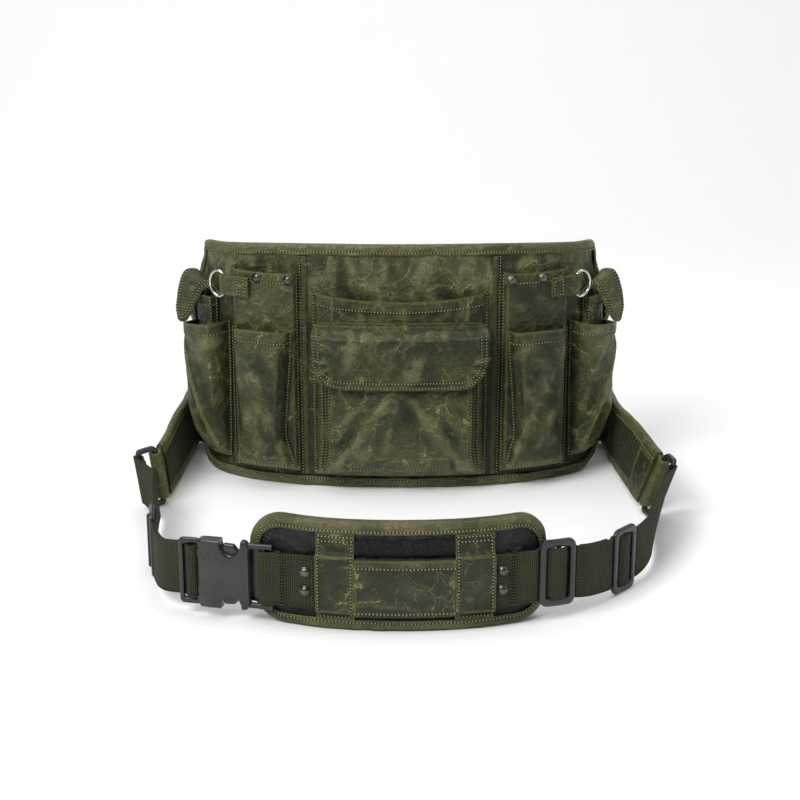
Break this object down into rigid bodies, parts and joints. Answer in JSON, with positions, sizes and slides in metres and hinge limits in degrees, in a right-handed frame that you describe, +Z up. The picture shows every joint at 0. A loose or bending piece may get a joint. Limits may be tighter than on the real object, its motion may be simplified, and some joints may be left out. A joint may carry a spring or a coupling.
{
  "type": "gardening tool belt",
  "caption": "Curved leather panel of open and flapped tool pockets on a waist loop of padded wings, webbing, a side release buckle and a padded back rest.",
  "frame": {"origin": "middle of the belt's box, on the floor that its lower edges stand on", "axes": "+X to the viewer's right with the pockets facing -Y, +Y towards the outside of the curved panel, +Z up"},
  "size_m": [0.4612, 0.4034, 0.2216],
  "materials": {
    "waxed_leather": "waxed and crackled, satin",
    "binding_leather": "waxed, satin, lighter",
    "webbing": "woven, matte",
    "knit_mesh": "open knit, matte",
    "felt": "felted, matte",
    "lining_leather": "smooth, satin",
    "plastic": "moulded, satin",
    "rivet_metal": "dark bronze, domed",
    "nickel": "polished nickel"
  },
  "bodies": {
    "belt": {"back_panel": "waxed_leather", "panel_binding": "binding_leather", "tool_pocket_centre": "waxed_leather", "flap_pocket": "waxed_leather", "centre_flap": "waxed_leather", "seam_welt_left": "waxed_leather", "seam_welt_right": "waxed_leather", "tall_pocket_left": "waxed_leather", "front_pocket_left": "waxed_leather", "side_pocket_left": "waxed_leather", "side_sheath_left": "waxed_leather", "tall_pocket_right": "waxed_leather", "front_pocket_right": "waxed_leather", "side_pocket_right": "waxed_leather", "side_sheath_right": "waxed_leather", "side_flap_left": "waxed_leather", "side_flap_right": "waxed_leather", "ring_tab_left": "waxed_leather", "ring_tab_right": "waxed_leather", "pocket_rivet_inner_left": "rivet_metal", "pocket_rivet_outer_left": "rivet_metal", "pocket_rivet_inner_right": "rivet_metal", "pocket_rivet_outer_right": "rivet_metal", "wing_left": "waxed_leather", "wing_binding_left": "binding_leather", "strap_ring_left": "plastic", "wing_right": "waxed_leather", "wing_binding_right": "binding_leather", "strap_ring_right": "plastic", "wing_mesh_left": "knit_mesh", "wing_mesh_right": "knit_mesh", "wing_patch_right": "waxed_leather", "slider_left": "plastic", "slider_front_right": "plastic", "slider_rear_right": "plastic", "webbing_left": "webbing", "webbing_front": "webbing", "webbing_end_left": "webbing", "webbing_end_right": "webbing", "buckle_male": "plastic", "buckle_female": "plastic", "back_rest": "lining_leather", "back_rest_binding": "binding_leather", "rest_tab_left": "waxed_leather", "rest_tab_right": "waxed_leather", "rest_sleeve": "waxed_leather", "rest_felt": "felt", "rest_rivet_lower_left": "rivet_metal", "rest_rivet_upper_left": "rivet_metal", "rest_rivet_lower_right": "rivet_metal", "rest_rivet_upper_right": "rivet_metal"},
    "ring_left": {"d_ring_left": "nickel"},
    "ring_right": {"d_ring_right": "nickel"}
  },
  "joints": [
    {"name": "ring_left_swing", "type": "hinge", "parent": "belt", "child": "ring_left", "pos_m": [-0.15544, 0.10586, 0.18159], "axis": [0, 0, 1], "range_deg": [0, 150]},
    {"name": "ring_right_swing", "type": "hinge", "parent": "belt", "child": "ring_right", "pos_m": [0.14898, 0.10586, 0.18159], "axis": [0, 0, 1], "range_deg": [-150, 0]}
  ]
}
